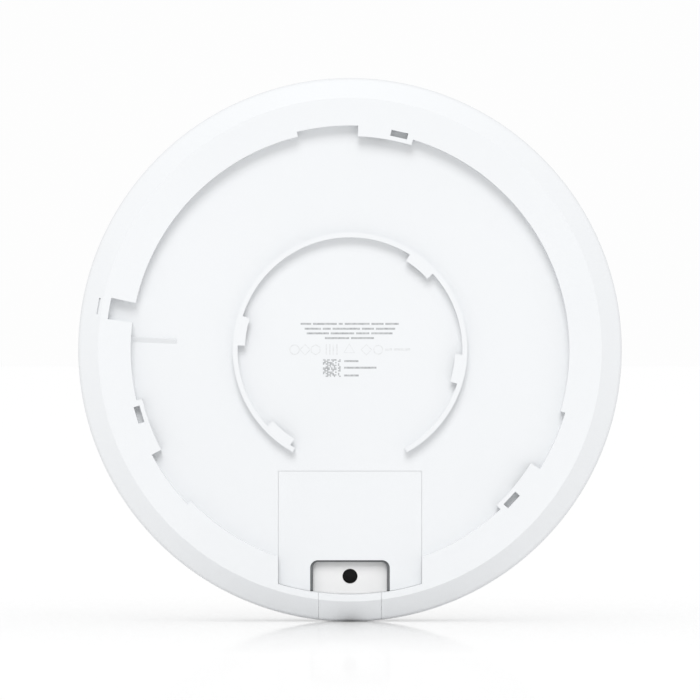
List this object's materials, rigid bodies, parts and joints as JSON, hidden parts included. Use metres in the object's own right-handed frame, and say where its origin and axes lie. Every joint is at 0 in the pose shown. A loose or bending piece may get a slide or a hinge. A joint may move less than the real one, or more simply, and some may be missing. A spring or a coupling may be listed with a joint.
{
  "type": "ceiling access point",
  "caption": "Round wireless access point: domed front, flat back with a bayonet recess, a split inner collar and a hatch over the cable port.",
  "frame": {"origin": "centre of the recess floor in the back, which the mounting bracket lies against; the rim that meets the ceiling is 4.5 mm further out", "axes": "-Y points out of the back, to the ceiling or wall, and +Y out of the dome; +Z points away from the cable port, +X is to the right as the back is seen. Turn -Y up to hang the unit from a ceiling"},
  "size_m": [0.206, 0.044, 0.206],
  "materials": {
    "shell_white": "fine matt moulded texture",
    "dome_white": "smooth satin",
    "gland_grey": "soft matt elastomer",
    "black_rubber": "matt",
    "black_plastic": "plain moulded",
    "tinned_steel": "tin plated sheet",
    "gold_plating": "gold plated spring wire",
    "bare_aluminium": "bare pressed sheet",
    "board_green": "solder mask over glass laminate",
    "pad_blue": "soft silicone pad",
    "ferrite_black": "sintered ferrite",
    "clear_plastic": "clear polycarbonate"
  },
  "bodies": {
    "housing": {"back_shell": "shell_white", "front_dome": "dome_white", "dome_gasket": "black_rubber", "port_bay_tray": "black_plastic", "gland_seal": "black_rubber", "jack_shield": "tinned_steel", "jack_housing": "black_plastic", "jack_contacts": "gold_plating", "reset_switch": "black_plastic", "main_board": "board_green", "heat_spreader": "bare_aluminium", "shield_can_processor": "tinned_steel", "thermal_pad_processor": "pad_blue", "shield_can_radio_left": "tinned_steel", "thermal_pad_radio_left": "pad_blue", "shield_can_radio_right": "tinned_steel", "thermal_pad_radio_right": "pad_blue", "poe_transformer": "ferrite_black", "lan_transformer": "black_plastic", "bulk_capacitor_1": "black_plastic", "bulk_capacitor_2": "black_plastic", "antenna_1": "tinned_steel", "antenna_2": "tinned_steel", "antenna_3": "tinned_steel", "antenna_4": "tinned_steel", "antenna_5": "tinned_steel", "antenna_6": "tinned_steel", "status_led": "clear_plastic", "status_light_pipe": "clear_plastic", "board_screw_1": "tinned_steel", "board_screw_2": "tinned_steel", "board_screw_3": "tinned_steel", "board_screw_4": "tinned_steel", "spreader_screw_1": "tinned_steel", "spreader_screw_2": "tinned_steel", "spreader_screw_3": "tinned_steel"},
    "port_cover": {"port_cover": "shell_white"},
    "cable_gland": {"cable_gland": "gland_grey"},
    "cable_exit_cap": {"cable_exit_cap": "shell_white"},
    "reset_button": {"reset_button": "black_plastic"}
  },
  "joints": [
    {"name": "port_cover_hinge", "type": "hinge", "parent": "housing", "child": "port_cover", "pos_m": [0, 0.0001, -0.0463], "axis": [-1, 0, 0], "range_deg": [0, 80]},
    {"name": "cable_gland_pull", "type": "slide", "parent": "housing", "child": "cable_gland", "axis": [0, -1, 0], "range_m": [0, 0.012]},
    {"name": "exit_cap_pull", "type": "slide", "parent": "housing", "child": "cable_exit_cap", "axis": [0, -1, 0], "range_m": [0, 0.01]},
    {"name": "reset_press", "type": "slide", "parent": "housing", "child": "reset_button", "axis": [0, 1, 0], "range_m": [0, 0.0006], "stiffness_N_per_m": 2500}
  ]
}
